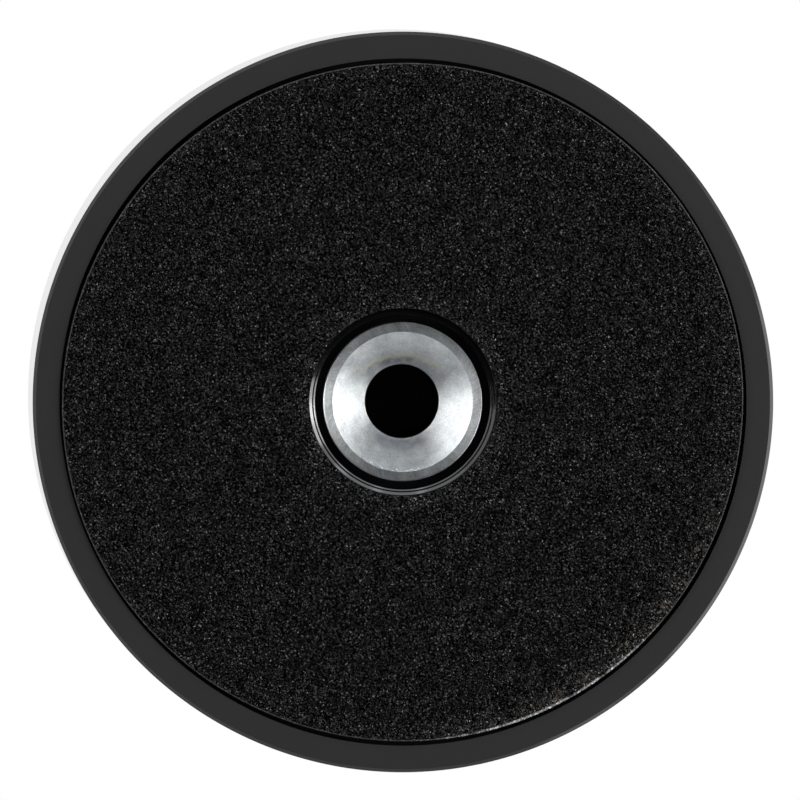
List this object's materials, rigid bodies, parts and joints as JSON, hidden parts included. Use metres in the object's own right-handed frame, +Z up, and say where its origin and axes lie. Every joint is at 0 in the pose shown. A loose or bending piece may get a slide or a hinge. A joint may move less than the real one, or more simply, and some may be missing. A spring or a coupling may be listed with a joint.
{
  "type": "record weight clamp",
  "caption": "Round turned record weight with a dark body, a foam pad in a recess under it and a bright countersunk bush that drops over the turntable's spindle.",
  "frame": {"origin": "on the spindle axis at the pad's lower face, where the weight stands on the record", "axes": "+Z up along the spindle axis, as the weight stands in use; X and Y are free, because the weight is turned"},
  "size_m": [0.0754, 0.0752, 0.028],
  "materials": {
    "body": "satin",
    "bush": "satin",
    "pad": "matte"
  },
  "bodies": {
    "root": {"body": "body", "spindle_bush": "bush", "pad": "pad"}
  },
  "joints": []
}
